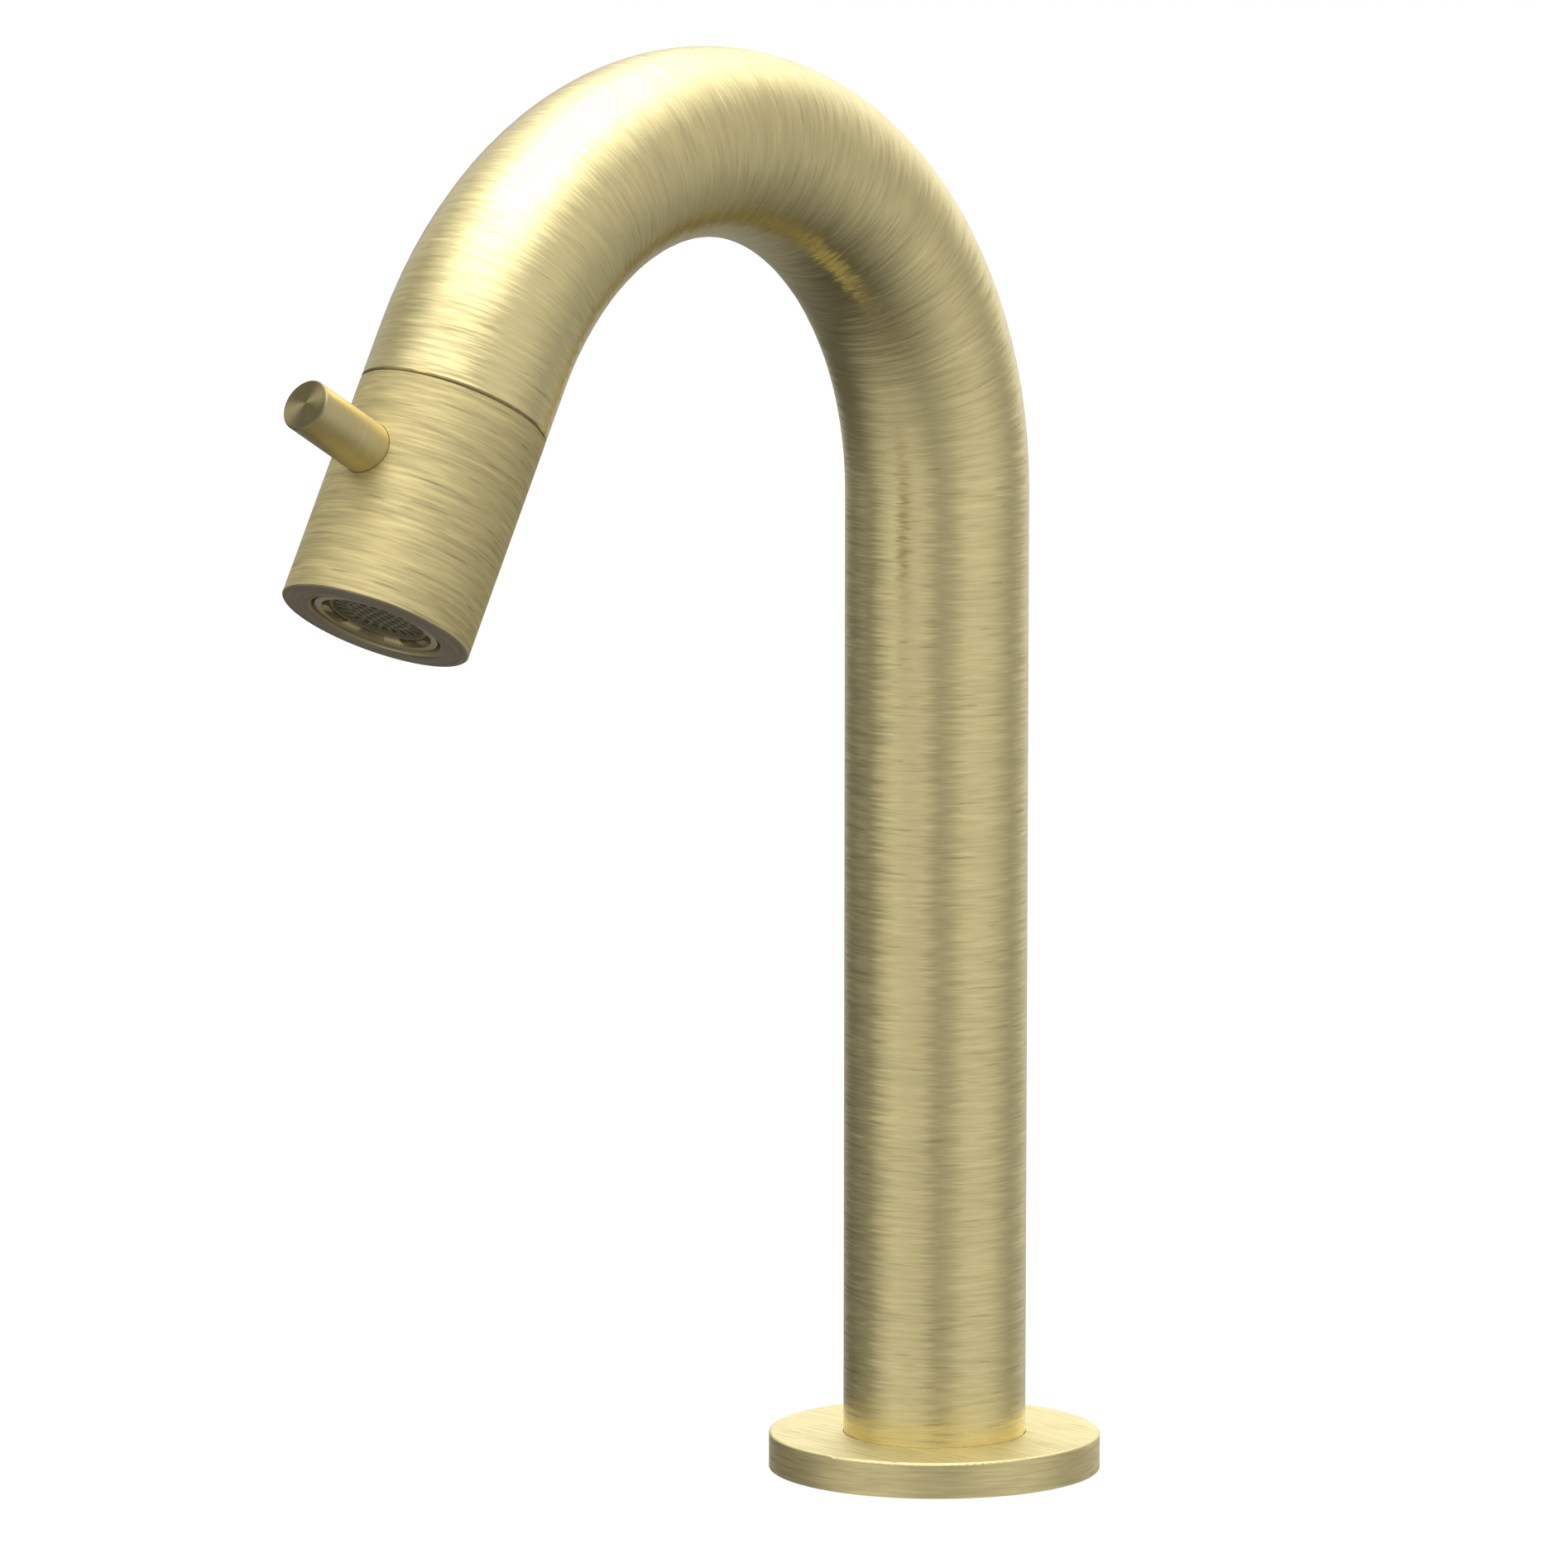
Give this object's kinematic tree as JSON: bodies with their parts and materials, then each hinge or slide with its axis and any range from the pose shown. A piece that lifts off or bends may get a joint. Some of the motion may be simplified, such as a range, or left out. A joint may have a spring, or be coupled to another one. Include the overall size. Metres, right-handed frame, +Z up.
{
  "type": "single-lever pillar tap",
  "caption": "Swan-neck washbasin tap on a round foot, with a turning valve head, pin lever and recessed aerator at the end of the spout.",
  "frame": {"origin": "on the riser's axis, at the deck that the rosette stands on", "axes": "+Z up along the riser, -Y towards the spout's outlet, +X to the right of someone standing at the basin; X = 0 is the plane of symmetry while the tap is closed"},
  "size_m": [0.04, 0.1303, 0.2228],
  "materials": {
    "brushed_brass": "brushed round its axis, lacquered pale gold",
    "turned_brass": "as turned, with cut threads",
    "zinc_steel": "zinc plated",
    "black_rubber": "matt black EPDM",
    "silicone": "moulded silicone",
    "alumina": "lapped alumina",
    "slide_plastic": "turned low-friction plastic",
    "aerator_metal": "satin, coated like the head",
    "aerator_plastic": "moulded, tinted to match the metal",
    "screen_steel": "woven stainless wire"
  },
  "bodies": {
    "spout_body": {"spout_tube": "brushed_brass", "rosette": "brushed_brass", "rosette_seal": "black_rubber", "mounting_shank": "turned_brass", "rubber_washer": "black_rubber", "metal_washer": "zinc_steel", "locknut": "turned_brass", "cartridge_socket": "turned_brass", "cartridge_body": "turned_brass", "seat_seal": "silicone", "fixed_disc": "alumina", "slide_washer": "slide_plastic"},
    "valve_head": {"head_sleeve": "brushed_brass", "lever_pin": "brushed_brass", "drive_collar": "turned_brass", "spindle": "turned_brass", "spindle_seals": "black_rubber", "moving_disc": "alumina", "outlet_seal": "black_rubber", "glide_ring": "slide_plastic", "aerator_washer": "black_rubber", "aerator_housing": "aerator_metal", "aerator_strainer": "aerator_plastic", "flow_regulator": "aerator_plastic", "regulator_ring": "black_rubber", "jet_plate": "aerator_plastic", "aerator_screens": "screen_steel", "stream_former": "aerator_plastic"}
  },
  "joints": [
    {"name": "valve_turn", "type": "hinge", "parent": "spout_body", "child": "valve_head", "pos_m": [0, -0.08482, 0.13351], "axis": [0, -0.4863, -0.8738], "range_deg": [0, 90]}
  ]
}
